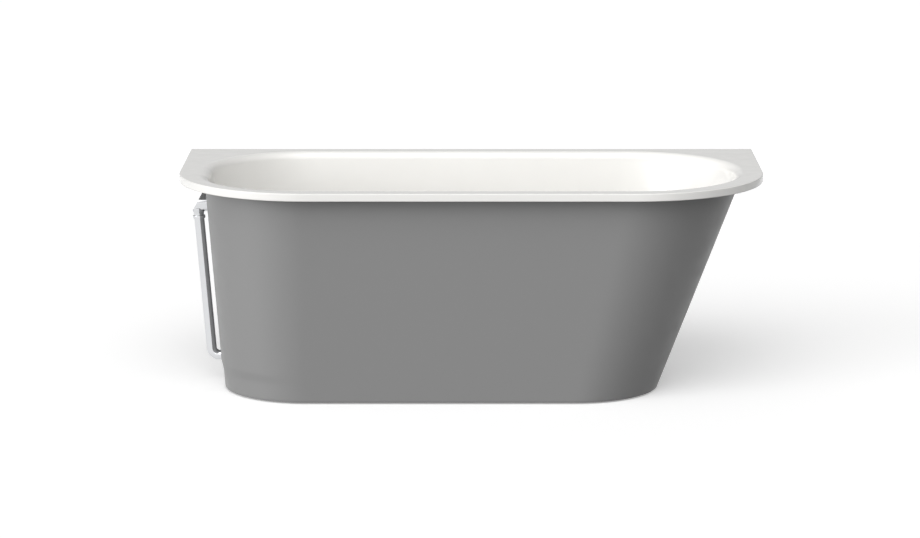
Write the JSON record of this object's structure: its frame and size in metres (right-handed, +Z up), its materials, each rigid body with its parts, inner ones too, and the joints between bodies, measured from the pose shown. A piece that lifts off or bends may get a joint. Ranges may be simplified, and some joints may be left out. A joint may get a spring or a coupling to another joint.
{
  "type": "back-to-wall bathtub",
  "caption": "Single-ended back-to-wall bath with a flat D-shaped rim, a sloping grey outer skin and an exposed overflow pipe at the steep end.",
  "frame": {"origin": "on the floor, under the middle of the rim", "axes": "+X along the bath from the overflow end to the sloping end, +Y to the wall, +Z up"},
  "size_m": [1.6, 0.75, 0.59],
  "materials": {
    "cast_basin": "glossy white gelcoat over cast mineral composite",
    "painted_skin": "satin grey paint on a moulded skin",
    "chromed_brass": "polished chrome",
    "raw_brass": "turned",
    "black_rubber": "moulded",
    "grey_nut_plastic": "moulded",
    "white_trap_plastic": "moulded",
    "plywood": "sealed plywood",
    "zinc_plated_steel": "bright zinc",
    "foot_plastic": "moulded nylon"
  },
  "bodies": {
    "bath": {"basin": "cast_basin", "outer_skin": "painted_skin", "overflow_elbow": "chromed_brass", "overflow_wall_seal": "black_rubber", "overflow_collar": "chromed_brass", "overflow_pipe": "chromed_brass", "overflow_bend": "chromed_brass", "overflow_run": "chromed_brass", "bend_ferrules": "raw_brass", "overflow_inner_seal": "black_rubber", "overflow_cover": "chromed_brass", "overflow_screw": "chromed_brass", "skin_grommet": "black_rubber", "waste_flange": "chromed_brass", "plug_sleeve": "raw_brass", "waste_seal_top": "black_rubber", "waste_seal_under": "black_rubber", "waste_back_nut": "grey_nut_plastic", "trap_body": "white_trap_plastic", "trap_bowl": "white_trap_plastic", "trap_bowl_ring": "black_rubber", "trap_inlet_nut": "grey_nut_plastic", "trap_inlet_seal": "black_rubber", "overflow_union_nut": "grey_nut_plastic", "overflow_union_ring": "black_rubber", "outlet_nut": "grey_nut_plastic", "outlet_ring": "black_rubber", "outlet_pipe": "white_trap_plastic", "base_board": "plywood", "cross_rail_left": "zinc_plated_steel", "cross_rail_right": "zinc_plated_steel", "board_screws": "zinc_plated_steel", "stud_bushes": "zinc_plated_steel", "lock_nuts": "zinc_plated_steel", "skin_angles": "zinc_plated_steel", "skin_angle_screws": "zinc_plated_steel", "wall_bracket_left": "zinc_plated_steel", "wall_bracket_right": "zinc_plated_steel", "rim_screws": "zinc_plated_steel"},
    "plug": {"plug_cap": "chromed_brass", "plug_seal": "black_rubber"},
    "foot_front_left": {"foot_pad_front_left": "foot_plastic"},
    "stud_front_left": {"foot_stud_front_left": "zinc_plated_steel"},
    "foot_front_right": {"foot_pad_front_right": "foot_plastic"},
    "stud_front_right": {"foot_stud_front_right": "zinc_plated_steel"},
    "foot_back_left": {"foot_pad_back_left": "foot_plastic"},
    "stud_back_left": {"foot_stud_back_left": "zinc_plated_steel"},
    "foot_back_right": {"foot_pad_back_right": "foot_plastic"},
    "stud_back_right": {"foot_stud_back_right": "zinc_plated_steel"}
  },
  "joints": [
    {"name": "plug_lift", "type": "slide", "parent": "bath", "child": "plug", "axis": [0, 0, 1], "range_m": [0, 0.01]},
    {"name": "foot_front_left_drop", "type": "slide", "parent": "bath", "child": "foot_front_left", "axis": [0, 0, -1], "range_m": [0, 0.025]},
    {"name": "stud_front_left_turn", "type": "hinge", "parent": "foot_front_left", "child": "stud_front_left", "pos_m": [-0.56, -0.195, 0.06], "axis": [0, 0, -1], "range_deg": [0, 5143]},
    {"name": "foot_front_right_drop", "type": "slide", "parent": "bath", "child": "foot_front_right", "axis": [0, 0, -1], "range_m": [0, 0.025]},
    {"name": "stud_front_right_turn", "type": "hinge", "parent": "foot_front_right", "child": "stud_front_right", "pos_m": [0.4, -0.195, 0.06], "axis": [0, 0, -1], "range_deg": [0, 5143]},
    {"name": "foot_back_left_drop", "type": "slide", "parent": "bath", "child": "foot_back_left", "axis": [0, 0, -1], "range_m": [0, 0.025]},
    {"name": "stud_back_left_turn", "type": "hinge", "parent": "foot_back_left", "child": "stud_back_left", "pos_m": [-0.56, 0.195, 0.06], "axis": [0, 0, -1], "range_deg": [0, 5143]},
    {"name": "foot_back_right_drop", "type": "slide", "parent": "bath", "child": "foot_back_right", "axis": [0, 0, -1], "range_m": [0, 0.025]},
    {"name": "stud_back_right_turn", "type": "hinge", "parent": "foot_back_right", "child": "stud_back_right", "pos_m": [0.4, 0.195, 0.06], "axis": [0, 0, -1], "range_deg": [0, 5143]}
  ],
  "couplings": [
    {"joint": "stud_front_left_turn", "follows": "foot_front_left_drop", "rad_per_m": 3590.4},
    {"joint": "stud_front_right_turn", "follows": "foot_front_right_drop", "rad_per_m": 3590.4},
    {"joint": "stud_back_left_turn", "follows": "foot_back_left_drop", "rad_per_m": 3590.4},
    {"joint": "stud_back_right_turn", "follows": "foot_back_right_drop", "rad_per_m": 3590.4}
  ]
}
